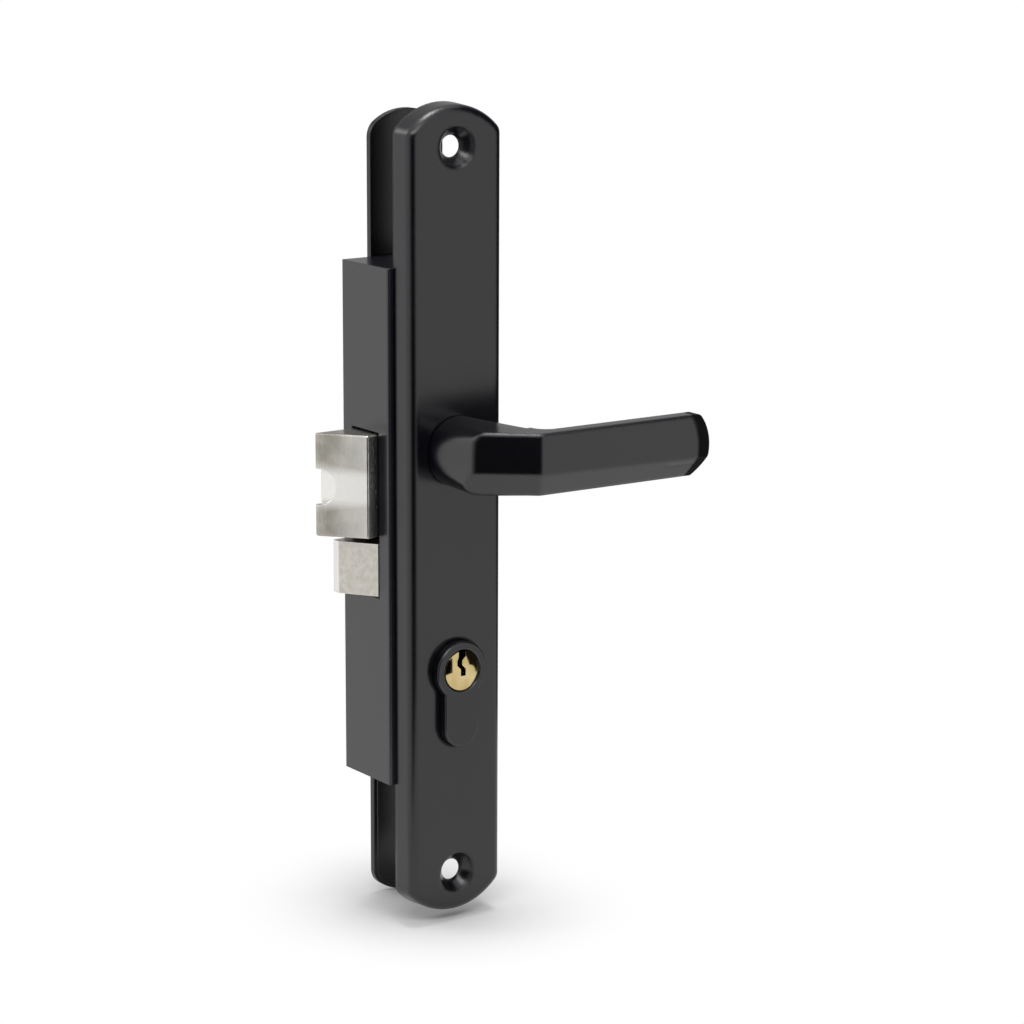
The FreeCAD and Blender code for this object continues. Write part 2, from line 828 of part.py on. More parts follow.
def latch_notch():
    # Pocket milled square to the bevel, open at the tip and round at its inner corners.
    run = bolt_rear - bolt_front
    lean = math.atan2(run, bevel_run())
    slope = math.hypot(run, bevel_run())
    start = slope - latch_notch_length
    end = slope + latch_notch_length
    half = latch_notch_height / 2
    r = latch_notch_radius
    d = r * (1 - math.sqrt(0.5))

    def at(s, z):
        return vec(s, -latch_notch_depth, z)

    wire = Part.Wire(
        [
            line_edge(at(start, -half + r), at(start, half - r)),
            arc_edge(at(start, half - r), at(start + d, half - d), at(start + r, half)),
            line_edge(at(start + r, half), at(end, half)),
            line_edge(at(end, half), at(end, -half)),
            line_edge(at(end, -half), at(start + r, -half)),
            arc_edge(at(start + r, -half), at(start + d, -half + d), at(start, -half + r)),
        ]
    )
    pocket = Part.Face(wire).extrude(vec(0, 3 * latch_notch_depth, 0))
    pocket.rotate(vec(0, 0, 0), vec(0, 0, 1), 180 - math.degrees(lean))
    middle = latch_top - latch_notch_top - half
    pocket.translate(vec(case_left - latch_straight, bolt_front, middle))
    return pocket


def rivet_x():
    return -tail_left + tail_bar_width / 2


def rivet_heights():
    inset = latch_rivet_inset
    return [latch_top - inset, latch_bottom + inset]


def latch_tail():
    rear = bolt_front + tail_thickness
    top = lug_top + tail_top_margin
    right = lug_left + lug_thickness
    bar_right = -tail_left + tail_bar_width
    bar = box(-tail_left, bar_right, bolt_front, rear, foot_bottom, top)
    head = box(-tail_left, right, bolt_front, rear, lug_bottom - lug_thickness, top)
    lug = box(lug_left, right, follower_front + slide_gap, rear, lug_bottom, lug_top)
    foot_top = foot_bottom + foot_height
    foot = box(-tail_left, bar_right, bolt_front, rear + foot_reach, foot_bottom, foot_top)
    tail = fuse(bar, head, lug, foot)
    for z in rivet_heights():
        tail = tail.cut(rod_y(latch_rivet_radius, bolt_front - overrun, rear + overrun, rivet_x(), z))
    return tail


def latch_rivets():
    return Part.Compound(
        [rod_y(latch_rivet_radius - press_gap, bolt_front, bolt_rear, rivet_x(), z) for z in rivet_heights()]
    )


def aux_bolt():
    outline = [
        (aux_shank_end, bolt_front),
        (case_left, bolt_front),
        (aux_tip, bolt_rear - aux_tip_flat),
        (aux_tip, bolt_rear),
        (aux_shank_end, bolt_rear),
    ]
    bolt = prism_z(outline, aux_bottom, aux_top)
    outside = [e for e in bolt.Edges if max(v.X for v in e.Vertexes) < case_left - overrun]
    bolt = bolt.makeFillet(aux_edge_radius, outside)
    inside = room_left + slide_gap
    step = bolt_front + aux_shank_recess
    foot = aux_bottom - aux_heel
    end = aux_shank_end + overrun
    bolt = fuse(bolt, box(inside, aux_shank_end, step, bolt_rear, foot, aux_top))
    bolt = bolt.cut(box(inside, end, bolt_front - overrun, step, foot - overrun, aux_top + overrun))
    bore = (aux_shank_end - aux_bore_depth, end)
    return bolt.cut(rod_x(aux_bore_radius, *bore, bolt_middle, aux_bore_height))


def spring_guide_pins():
    latch_end = latch_shank_end - latch_bore_depth + latch_travel + running_gap
    aux_end = aux_shank_end - aux_bore_depth + aux_throw + running_gap
    return Part.Compound(
        [
            rod_x(latch_pin_radius, latch_end, case_right, bolt_middle, latch_bore_height),
            rod_x(aux_pin_radius, aux_end, case_right, bolt_middle, aux_bore_height),
        ]
    )


def latch_spring():
    start = latch_shank_end - latch_bore_depth
    radius = (latch_pin_radius + latch_bore_radius) / 2
    return bolt_spring(radius, latch_spring_wire, latch_spring_turns, start, latch_bore_height)


def aux_spring():
    start = aux_shank_end - aux_bore_depth
    radius = (aux_pin_radius + aux_bore_radius) / 2
    return bolt_spring(radius, aux_spring_wire, aux_spring_turns, start, aux_bore_height)


def cylinder_screw_height():
    return -centre_distance - (bridge_top + cylinder_drop) / 2


def pin_places():
    return [cylinder_front + pin_first + i * pin_pitch for i in range(pin_count)]


def cylinder_body():
    body = cylinder_profile(cylinder_front, cylinder_rear)
    body = body.makeChamfer(cylinder_edge_bevel, edges_at(body, cylinder_front))
    reach = cylinder_radius + overrun
    notch = box(-reach, reach, cam_front - turn_gap, cam_rear + turn_gap, -centre_distance - bridge_top, 0)
    body = body.cut(notch)
    bore = plug_radius + press_gap
    body = body.cut(plug_rod(bore, cylinder_front - overrun, cylinder_rear + overrun))
    mouth_end = cylinder_front + bore_mouth_bevel
    body = body.cut(cone_y(bore + bore_mouth_bevel, bore, cylinder_front, mouth_end, 0, -centre_distance))
    screw = rod_x(cylinder_screw_radius + press_gap, -reach, reach, cam_middle, cylinder_screw_height())
    body = body.cut(screw)
    floor = -centre_distance - plug_radius - driver_pin_length - pin_spring_length
    for y in pin_places():
        body = body.cut(rod_z(pin_radius + press_gap, floor, -centre_distance, 0, y))
    return body


def driver_pins():
    edge = -centre_distance - plug_radius
    span = (edge - driver_pin_length, edge - turn_gap)
    return Part.Compound([rod_z(pin_radius, *span, 0, y) for y in pin_places()])


def pin_springs():
    springs = []
    for y in pin_places():
        top = -centre_distance - plug_radius - driver_pin_length
        height = pin_spring_length - pin_spring_wire
        spring = coil(pin_radius - pin_spring_wire, pin_spring_wire, pin_spring_turns, height, 4, 6)
        spring.translate(vec(0, y, top - pin_spring_length + pin_spring_wire / 2))
        springs.append(spring)
    return Part.Compound(springs)


def keyway():
    # Slot from the top of the plug to a little below its centre, with two jogs across its height.
    right = keyway_mouth / 2
    inner = right - keyway_jog
    half_jog = keyway_jog / 2
    outline = [
        (right, plug_radius + overrun),
        (right, keyway_upper_jog + half_jog),
        (inner, keyway_upper_jog - half_jog),
        (inner, keyway_lower_jog + half_jog),
        (right, keyway_lower_jog - half_jog),
        (right, -keyway_floor),
        (right - keyway_width, -keyway_floor),
        (right - keyway_width, keyway_lower_jog - half_jog),
        (inner - keyway_width, keyway_lower_jog + half_jog),
        (inner - keyway_width, keyway_upper_jog - half_jog),
        (-right, keyway_upper_jog + half_jog),
        (-right, plug_radius + overrun),
    ]
    places = [(x, z - centre_distance) for x, z in outline]
    return prism_y(places, cylinder_front - overrun, cam_front - overrun)


def cylinder_plug():
    front = cylinder_front + plug_recess
    shoulder = cam_front - turn_gap
    tail_end = cam_rear + plug_ring_thickness + 2 * running_gap
    plug = plug_rod(plug_radius, front, shoulder)
    plug = plug.makeChamfer(plug_edge_bevel, edges_at(plug, front))
    plug = fuse(plug, plug_rod(plug_tail_radius, shoulder, tail_end))
    groove_front = cam_rear + turn_gap
    groove = plug_rod(plug_tail_radius + overrun, groove_front, groove_front + plug_ring_thickness)
    groove = groove.cut(plug_rod(plug_tail_radius - plug_groove_depth, cam_rear, tail_end))
    plug = plug.cut([groove, keyway()])
    top = -centre_distance - keyway_floor
    for y in pin_places():
        plug = plug.cut(rod_z(pin_radius + press_gap, top - plug_radius, top, 0, y))
    return plug


def key_pins():
    span = (-centre_distance - plug_radius + turn_gap, -centre_distance - keyway_floor)
    limit = plug_rod(plug_radius - press_gap, cylinder_front, cam_front)
    return Part.Compound([rod_z(pin_radius, *span, 0, y).common(limit) for y in pin_places()])


def cylinder_cam():
    ring = plug_rod(cam_ring_radius, cam_front, cam_rear)
    bit_half = cam_bit_width / 2
    bit = box(-bit_half, bit_half, cam_front, cam_rear, -centre_distance - cam_reach, -centre_distance)
    bit = bit.common(plug_rod(cam_reach, cam_front, cam_rear))
    cam = fuse(ring, bit)
    return cam.cut(plug_rod(plug_tail_radius + press_gap, cam_front - overrun, cam_rear + overrun))


def plug_ring():
    front = cam_rear + turn_gap + press_gap
    rear = cam_rear + turn_gap + plug_ring_thickness - press_gap
    inner = plug_tail_radius - plug_groove_depth + press_gap
    ring = plug_rod(plug_ring_radius, front, rear)
    ring = ring.cut(plug_rod(inner, front - overrun, rear + overrun))
    mouth = inner * ring_mouth
    top = -centre_distance + 2 * plug_ring_radius
    return ring.cut(box(-mouth, mouth, front - overrun, rear + overrun, -centre_distance, top))


def cylinder_screw():
    z = cylinder_screw_height()
    end = -cylinder_leg + running_gap
    shank = rod_x(cylinder_screw_radius, end, case_right, cam_middle, z)
    top = case_right + cylinder_screw_head
    head = rod_x(cylinder_screw_head_radius, case_right, top, cam_middle, z)
    edge = [e for e in head.Edges if all(abs(v.X - top) < same_place for v in e.Vertexes)]
    head = head.makeChamfer(cylinder_screw_bevel, edge)
    return fuse(shank, head)


pieces = [
    front_plate,
    rear_plate,
    lock_case,
    case_cover,
    case_pillars,
    cover_screws,
    lever_handle,
    lever_end_cap,
    lever_bush,
    retaining_ring,
    stop_plate,
    lever_spring,
    spindle,
    grub_screw,
    follower,
    latch_bolt,
    latch_tail,
    latch_rivets,
    latch_spring,
    aux_bolt,
    aux_spring,
    spring_guide_pins,
    cylinder_body,
    cylinder_plug,
    cylinder_cam,
    plug_ring,
    key_pins,
    driver_pins,
    pin_springs,
    cylinder_screw,
]

os.makedirs("parts", exist_ok=True)
for piece in pieces:
    shape = piece()
    print(f"{piece.__name__}: {len(shape.Solids)} solids, {shape.Volume:.0f} mm3, valid {shape.isValid()}")
    shape.exportStep(f"parts/{piece.__name__}.step")
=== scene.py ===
import math

import bmesh
import bpy
from mathutils import Matrix, Vector


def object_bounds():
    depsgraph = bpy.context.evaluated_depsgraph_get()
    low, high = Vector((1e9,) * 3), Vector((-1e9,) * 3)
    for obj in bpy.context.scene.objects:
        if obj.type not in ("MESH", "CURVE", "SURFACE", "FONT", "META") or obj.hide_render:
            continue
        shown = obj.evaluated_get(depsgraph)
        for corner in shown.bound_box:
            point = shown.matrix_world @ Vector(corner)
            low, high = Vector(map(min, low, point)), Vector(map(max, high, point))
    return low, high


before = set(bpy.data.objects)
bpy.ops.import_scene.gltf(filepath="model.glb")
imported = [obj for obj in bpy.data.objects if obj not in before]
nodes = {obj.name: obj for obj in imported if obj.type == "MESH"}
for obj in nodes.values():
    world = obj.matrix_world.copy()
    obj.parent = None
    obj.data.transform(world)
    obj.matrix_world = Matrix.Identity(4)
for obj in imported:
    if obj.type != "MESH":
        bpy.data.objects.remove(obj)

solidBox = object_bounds()
scene = bpy.context.scene
scene.view_settings.view_transform = "Standard"

edgeSamples = 6    # rays with which a soft edge is looked for
edgeHighlightSamples = 8    # the same for the painted highlight along an edge
wholeEdgeHighlight = 0.93    # cosine of the turn over an edge at which its painted highlight is whole
noiseMean = 0.5    # what a noise pattern averages
toneFade = 0.15    # how far to each side of its middle a pattern goes from the dark tone to the light one
highlightBandsEven = 0.85    # share of a painted highlight band that is there whatever the grain
highlightBandsGrain = 0.3    # share of a painted highlight band that the grain adds


def hexToLinear(code):
    levels = [int(code[i:i + 2], 16) / 255 for i in (1, 3, 5)]
    return [v / 12.92 if v <= 0.04045 else ((v + 0.055) / 1.055) ** 2.4 for v in levels] + [1.0]


def metres(millimetres):
    return millimetres / 1000.0


def perMetre(millimetres):
    return 1000.0 / millimetres    # texture scale that gives features of this size


def fromTo(source, result=(0.0, 1.0)):    # the four ends of a change of range
    return {"From Min": source[0], "From Max": source[1], "To Min": result[0], "To Max": result[1]}


def addNode(tree, kind, values=None, links=None, **settings):
    node = tree.nodes.new("ShaderNode" + kind)
    for name, value in settings.items():
        setattr(node, name, value)
    for name, value in (values or {}).items():
        node.inputs[name].default_value = value
    for name, socket in (links or {}).items():
        tree.links.new(socket, node.inputs[name])
    return node


def newMaterial(name):
    material = bpy.data.materials.new(name)
    material.use_nodes = True
    material.node_tree.nodes.clear()
    return material, material.node_tree


def dress(material, *names):
    for name in names:
        slots = nodes[name].data.materials
        slots.clear()
        slots.append(material)


# The two tones of a surface, as its pattern mixes them.
def twoTone(tree, pattern, look, middle=noiseMean):
    ramp = addNode(tree, "ValToRGB", links={"Fac": pattern})
    dark, light = ramp.color_ramp.elements
    dark.color = hexToLinear(look["dark"])
    light.color = hexToLinear(look["light"])
    dark.position = middle - toneFade
    light.position = middle + toneFade
    return ramp.outputs["Color"]


# Painted highlight along an edge: where the rounded normal turns away from the flat one, the colour goes over
# to a lighter one.
def paintedEdgeHighlight(tree, colour, edgeHighlight):
    rounded = addNode(tree, "Bevel", {"Radius": metres(edgeHighlight["reach"])}, samples=edgeHighlightSamples)
    flat = addNode(tree, "NewGeometry")
    normals = {0: rounded.outputs[0], 1: flat.outputs["Normal"]}
    same = addNode(tree, "VectorMath", links=normals, operation="DOT_PRODUCT")
    share = addNode(
        tree, "MapRange", fromTo((1.0, wholeEdgeHighlight), (0.0, edgeHighlight["share"])), {"Value": same.outputs["Value"]}
    )
    mixed = addNode(
        tree, "Mix", {"B": hexToLinear(edgeHighlight["colour"])}, {"A": colour, "Factor": share.outputs[0]},
        data_type="RGBA",
    )
    return mixed.outputs["Result"]


# Painted highlight on a bolt, mixed into its colour: a stretch of its length, and a band across its height,
# made lighter.
def paintedHighlightBands(tree, place, grain, colour, highlightBands):
    axes = addNode(tree, "SeparateXYZ", links={"Vector": place}).outputs
    stretch = fromTo([metres(v) for v in highlightBands["along"]], (0.0, highlightBands["alongShare"]))
    share = addNode(tree, "MapRange", stretch, {"Value": axes["X"]}).outputs[0]
    if "bandMiddle" in highlightBands:
        away = addNode(tree, "Math", {1: metres(highlightBands["bandMiddle"])}, {0: axes["Z"]}, operation="SUBTRACT")
        away = addNode(tree, "Math", links={0: away.outputs[0]}, operation="ABSOLUTE")
        bandEdge = (metres(highlightBands["bandHalf"]), metres(highlightBands["bandHalf"] + highlightBands["bandFade"]))
        band = addNode(
            tree, "MapRange", fromTo(bandEdge, (highlightBands["bandShare"], 0.0)), {"Value": away.outputs[0]},
            interpolation_type="SMOOTHSTEP",
        )
        share = addNode(tree, "Math", links={0: band.outputs[0], 1: share}, operation="MAXIMUM").outputs[0]
    grainedHighlight = addNode(tree, "Math", {1: highlightBandsGrain, 2: highlightBandsEven}, {0: grain}, operation="MULTIPLY_ADD")
    share = addNode(
        tree, "Math", links={0: share, 1: grainedHighlight.outputs[0]}, operation="MULTIPLY", use_clamp=True
    )
    mixed = addNode(
        tree, "Mix", {"B": hexToLinear(highlightBands["colour"])}, {"A": colour, "Factor": share.outputs[0]},
        data_type="RGBA",
    )
    return mixed.outputs["Result"]


# Powder coat: plastic powder baked on. It gives a satin skin with soft highlights and a slight
# orange peel that only those highlights show.
def powderCoat(name, look):
    material, tree = newMaterial(name)
    place = addNode(tree, "TexCoord").outputs["Object"]
    peel = addNode(tree, "TexNoise", {"Scale": perMetre(look["peelSize"]), "Detail": 2.0}, {"Vector": place})
    grit = addNode(tree, "TexNoise", {"Scale": perMetre(look["gritSize"]), "Detail": 1.0}, {"Vector": place})
    cloud = addNode(tree, "TexNoise", {"Scale": perMetre(look["cloudSize"]), "Detail": 3.0}, {"Vector": place})
    edge = addNode(tree, "Bevel", {"Radius": metres(look["edgeRadius"])}, samples=edgeSamples)
    ripple = addNode(
        tree, "Bump", {"Strength": 1.0, "Distance": metres(look["peelDepth"])},
        {"Height": peel.outputs[0], "Normal": edge.outputs[0]},
    )
    speckle = addNode(
        tree, "Bump", {"Strength": 1.0, "Distance": metres(look["gritDepth"])},
        {"Height": grit.outputs[0], "Normal": ripple.outputs[0]},
    )
    colour = twoTone(tree, cloud.outputs[0], look)
    if "edgeHighlight" in look:
        colour = paintedEdgeHighlight(tree, colour, look["edgeHighlight"])
    roughness = addNode(tree, "MapRange", fromTo((0.0, 1.0), look["roughness"]), {"Value": cloud.outputs[0]})
    shader = addNode(
        tree, "BsdfPrincipled", {"IOR": look["ior"], "Metallic": 0.0},
        {"Base Color": colour, "Roughness": roughness.outputs[0], "Normal": speckle.outputs[0]},
    )
    addNode(tree, "OutputMaterial", links={"Surface": shader.outputs[0]})
    return material


# Worked metal: bare and bright. Its grain is drawn out along one axis where a belt or a lathe
# has passed, over slow changes of tone.
def workedMetal(name, look):
    material, tree = newMaterial(name)
    place = addNode(tree, "TexCoord").outputs["Object"]
    drawnOut = addNode(tree, "Mapping", {"Scale": look["stretch"]}, {"Vector": place})
    grain = addNode(
        tree, "TexNoise", {"Scale": perMetre(look["grainSize"]), "Detail": 3.0, "Roughness": 0.6},
        {"Vector": drawnOut.outputs[0]},
    )
    cloud = addNode(tree, "TexNoise", {"Scale": perMetre(look["cloudSize"]), "Detail": 4.0}, {"Vector": place})
    edge = addNode(tree, "Bevel", {"Radius": metres(look["edgeRadius"])}, samples=edgeSamples)
    scratch = addNode(
        tree, "Bump", {"Strength": 1.0, "Distance": metres(look["grainDepth"])},
        {"Height": grain.outputs[0], "Normal": edge.outputs[0]},
    )
    streaked = addNode(
        tree, "Math", {1: look["streak"]}, {0: grain.outputs[0], 2: cloud.outputs[0]}, operation="MULTIPLY_ADD"
    )
    colour = twoTone(tree, streaked.outputs[0], look, noiseMean * (1.0 + look["streak"]))
    if "highlightBands" in look:
        colour = paintedHighlightBands(tree, place, grain.outputs[0], colour, look["highlightBands"])
    if "edgeHighlight" in look:
        colour = paintedEdgeHighlight(tree, colour, look["edgeHighlight"])
    roughness = addNode(tree, "MapRange", fromTo((0.0, 1.0), look["roughness"]), {"Value": grain.outputs[0]})
    shader = addNode(
        tree, "BsdfPrincipled", {"Metallic": 1.0},
        {"Base Color": colour, "Roughness": roughness.outputs[0], "Normal": scratch.outputs[0]},
    )
    addNode(tree, "OutputMaterial", links={"Surface": shader.outputs[0]})
    return material


# Brass faced on a lathe and polished. It bulges a little, so it mirrors a bent picture of the
# room, with fine rings in it.
def facedBrass(name, look):
    material, tree = newMaterial(name)
    place = addNode(tree, "TexCoord").outputs["Object"]
    axis = (0.0, 0.0, metres(look["axisDrop"]))
    fromAxis = addNode(tree, "VectorMath", {1: axis}, {0: place}, operation="ADD")
    across = addNode(tree, "VectorMath", {1: (1.0, 0.0, 1.0)}, {0: fromAxis.outputs[0]}, operation="MULTIPLY")
    radius = addNode(tree, "VectorMath", links={0: across.outputs[0]}, operation="LENGTH").outputs["Value"]
    square = addNode(tree, "Math", links={0: radius, 1: radius}, operation="MULTIPLY").outputs[0]
    sag = -1.0 / (2.0 * metres(look["bulgeRadius"]))
    bulge = addNode(tree, "Math", {1: sag}, {0: square}, operation="MULTIPLY").outputs[0]
    turnsPerMetre = 2.0 * math.pi / metres(look["ringPitch"])
    turns = addNode(tree, "Math", {1: turnsPerMetre}, {0: radius}, operation="MULTIPLY").outputs[0]
    rings = addNode(tree, "Math", links={0: turns}, operation="SINE").outputs[0]
    cloud = addNode(tree, "TexNoise", {"Scale": perMetre(look["cloudSize"]), "Detail": 4.0}, {"Vector": place})
    edge = addNode(tree, "Bevel", {"Radius": metres(look["edgeRadius"])}, samples=edgeSamples)
    domed = addNode(    # the bulge's height is already in metres
        tree, "Bump", {"Strength": 1.0, "Distance": 1.0}, {"Height": bulge, "Normal": edge.outputs[0]}
    )
    ringed = addNode(
        tree, "Bump", {"Strength": 1.0, "Distance": metres(look["ringDepth"])},
        {"Height": rings, "Normal": domed.outputs[0]},
    )
    roughness = addNode(tree, "MapRange", fromTo((0.0, 1.0), look["roughness"]), {"Value": cloud.outputs[0]})
    shader = addNode(
        tree, "BsdfPrincipled", {"Metallic": 1.0},
        {
            "Base Color": twoTone(tree, cloud.outputs[0], look),
            "Roughness": roughness.outputs[0],
            "Normal": ringed.outputs[0],
        },
    )
    addNode(tree, "OutputMaterial", links={"Surface": shader.outputs[0]})
    return material


# Moulded plastic: a dull skin with the pits of its spark-eroded mould.
def mouldedPlastic(name, look):
    material, tree = newMaterial(name)
    place = addNode(tree, "TexCoord").outputs["Object"]
    grain = addNode(tree, "TexVoronoi", {"Scale": perMetre(look["grainSize"])}, {"Vector": place})
    cloud = addNode(tree, "TexNoise", {"Scale": perMetre(look["cloudSize"])}, {"Vector": place})
    edge = addNode(tree, "Bevel", {"Radius": metres(look["edgeRadius"])}, samples=edgeSamples)
    pits = addNode(
        tree, "Bump", {"Strength": 1.0, "Distance": metres(look["grainDepth"])},
        {"Height": grain.outputs["Distance"], "Normal": edge.outputs[0]},
    )
    roughness = addNode(tree, "MapRange", fromTo((0.0, 1.0), look["roughness"]), {"Value": cloud.outputs[0]})
    shader = addNode(
        tree, "BsdfPrincipled", {"IOR": look["ior"], "Specular IOR Level": look["specular"]},
        {
            "Base Color": twoTone(tree, cloud.outputs[0], look),
            "Roughness": roughness.outputs[0],
            "Normal": pits.outputs[0],
        },
    )
    addNode(tree, "OutputMaterial", links={"Surface": shader.outputs[0]})
    return material


# All sizes and depths of the finishes are in millimetres.

# Front plate: satin black over a zinc casting, whose edges the coat rounds off. Its orange peel is as wide
# as on real coats. The powder's own grains are near 0.1 mm, too fine to show, so the grit is drawn at 0.5.
frontPlate = {
    "dark": "#0a0a0f", "light": "#0d0d13", "roughness": (0.19, 0.25), "ior": 1.555, "edgeRadius": 1.8,
    "peelSize": 1.6, "peelDepth": 0.005, "gritSize": 0.5, "gritDepth": 0.0012, "cloudSize": 30.0,
}
dress(powderCoat("powder coat on cast zinc", frontPlate), "front_plate")

# Lever: the same coat over a casting that was tumbled first, so its edges are softer still.
lever = dict(frontPlate, ior=1.58, edgeRadius=2.0)
dress(powderCoat("powder coat on the cast lever", lever), "lever_handle")

# Case and cover: the coat over folded sheet steel, a shade greyer, with crisp folds.
lockCase = dict(
    frontPlate, dark="#111117", light="#16161d", roughness=(0.22, 0.28), ior=1.66, peelSize=2.0, edgeRadius=0.6
)
dress(powderCoat("powder coat on folded steel", lockCase), "lock_case", "case_cover")

# Rear plate: pressed from sheet, and the darkest of the coated pieces.
rearPlate = dict(lockCase, dark="#08080b", light="#0a0a0e", ior=1.5)
dress(powderCoat("powder coat on pressed steel", rearPlate), "rear_plate")

# Cylinder: thin lacquer over brass, duller than the coat, with a painted grey highlight along its edges.
cylinderBody = dict(
    frontPlate, roughness=(0.27, 0.33), peelDepth=0.003, edgeRadius=0.3,
    # painted highlight: a lighter grey along the edges
    edgeHighlight={"reach": 0.5, "share": 0.7, "colour": "#45454c"},
)
dress(powderCoat("black lacquer on brass", cylinderBody), "cylinder_body")
print("coated pieces dressed")

# Latch: stainless steel ground along its height, so that it shines in soft upright streaks. A painted
# highlight lightens it towards the bevel's root and in a band across its middle, and another runs along its
# edges. The belt's lines are near 0.1 mm apart, and are drawn at 0.45 to show.
groundSteel = {
    "dark": "#96938a", "light": "#b6b2a8", "roughness": (0.21, 0.31), "edgeRadius": 0.3, "streak": 0.3,
    "stretch": (1.0, 1.0, 0.05), "grainSize": 0.45, "grainDepth": 0.0015, "cloudSize": 6.0,
}
latchBolt = dict(
    groundSteel,
    # painted highlight: lighter towards the bevel's root, and in a band across the middle
    highlightBands={
        "colour": "#f2f0ec", "along": (-31.0, -18.5), "alongShare": 0.8,
        "bandMiddle": -11.7, "bandHalf": 3.0, "bandFade": 5.5, "bandShare": 1.0,
    },
    # painted highlight along the edges
    edgeHighlight={"reach": 0.4, "share": 0.8, "colour": "#f4f2ee"},
)
dress(workedMetal("ground stainless steel", latchBolt), "latch_bolt")

# Auxiliary bolt: blasted stainless steel, paler and cloudy without streaks, with a painted highlight on its
# flat tip and along its edges.
# The marks of the beads are near 0.15 mm wide, and are drawn at 0.5 to show.
auxBolt = dict(
    groundSteel, dark="#c3bfb6", light="#d3cfc8", roughness=(0.29, 0.39), stretch=(1.0, 1.0, 0.4),
    grainSize=0.5, grainDepth=0.006, cloudSize=1.8, streak=0.6,
    # painted highlight on the flat tip
    highlightBands={"colour": "#f0eeea", "along": (-26.3, -26.5), "alongShare": 0.9},
    # painted highlight along the edges
    edgeHighlight={"reach": 0.4, "share": 0.8, "colour": "#f8f6f2"},
)
dress(workedMetal("blasted stainless steel", auxBolt), "aux_bolt")

# Plug: warm yellow brass with a clear mirror image. The lathe's rings are near 0.1 mm apart, and are drawn
# at 0.35 to show.
cylinderPlug = {
    "dark": "#bea76f", "light": "#d5c293", "roughness": (0.06, 0.12), "axisDrop": 68.0, "bulgeRadius": 13.5,
    "ringPitch": 0.35, "ringDepth": 0.0008, "cloudSize": 6.0, "edgeRadius": 0.1,
}
dress(facedBrass("faced and polished brass", cylinderPlug), "cylinder_plug")

# Pins: brass as it leaves the lathe, bright and even. Its fine turning marks are drawn at 0.7.
pins = dict(
    groundSteel, dark="#b9a266", light="#d6c48c", roughness=(0.16, 0.24), streak=0.1, stretch=(1.0, 1.0, 1.0),
    grainSize=0.7, grainDepth=0.001,
)
dress(workedMetal("turned brass", pins), "key_pins", "driver_pins")

# Plated pieces of the works: bright zinc plate with a cold, even sheen. Its fine mottle is drawn at 1.2.
platedPieces = dict(
    groundSteel, dark="#a9adb2", light="#bcc0c4", roughness=(0.25, 0.35), streak=0.1, stretch=(1.0, 1.0, 1.0),
    grainSize=1.2, grainDepth=0.002,
)
dress(
    workedMetal("zinc-plated steel", platedPieces),
    "case_pillars", "stop_plate", "spindle", "latch_tail", "latch_rivets", "spring_guide_pins", "cylinder_cam",
)

# Screws: blackened, a dark grey with a dull shine.
screws = dict(platedPieces, dark="#3a3a3c", light="#464648", roughness=(0.31, 0.41))
dress(workedMetal("blackened steel", screws), "cover_screws", "grub_screw", "cylinder_screw")

# Springs and rings: drawn steel, darker than the plated pieces. The die's fine marks are drawn at 0.4.
springs = dict(platedPieces, dark="#7c8086", light="#8f9399", roughness=(0.23, 0.33), grainSize=0.4)
dress(
    workedMetal("drawn spring steel", springs),
    "retaining_ring", "lever_spring", "latch_spring", "aux_spring", "plug_ring", "pin_springs",
)

# Follower: zinc as it was cast and tumbled, matt and pitted. The pits are drawn at 0.8.
follower = dict(
    platedPieces, dark="#8b8d90", light="#9c9ea1", roughness=(0.45, 0.55), grainSize=0.8, grainDepth=0.01
)
dress(workedMetal("cast zinc", follower), "follower")
print("metal pieces dressed")

# End cap: black nylon, almost without gloss. The mould's pits are near 0.1 mm wide, and are drawn at 0.5.
endCap = {
    "dark": "#070707", "light": "#0a0a0a", "roughness": (0.46, 0.54), "ior": 1.53, "specular": 0.06,
    "edgeRadius": 0.2, "grainSize": 0.5, "grainDepth": 0.008, "cloudSize": 12.0,
}
dress(mouldedPlastic("moulded nylon", endCap), "lever_end_cap")

# Bearing sleeve: acetal, black too and a little smoother.
bearingSleeve = dict(endCap, roughness=(0.31, 0.39))
dress(mouldedPlastic("moulded acetal", bearingSleeve), "lever_bush")
print("plastic pieces dressed")


def makeObject(name, build):
    mesh = bpy.data.meshes.new(name)
    shape = bmesh.new()
    build(shape)
    shape.to_mesh(mesh)
    shape.free()
    piece = bpy.data.objects.new(name, mesh)
    scene.collection.objects.link(piece)
    return piece


# Floor: matt pale paint that keeps the shadow near the object, and goes over to plain white round it.
# The fade is in millimetres, the rest in metres.
floorLook = {
    "size": 4.0, "height": solidBox[0][2], "paint": "#f8f8f8",
    "fadeMiddle": (2.0, 10.0), "fadeStart": 20.0, "fadeEnd": 70.0,
}


def floorMesh(shape):
    half = floorLook["size"] / 2
    corners = ((-half, -half), (half, -half), (half, half), (-half, half))
    shape.faces.new([shape.verts.new((x, y, floorLook["height"])) for x, y in corners])


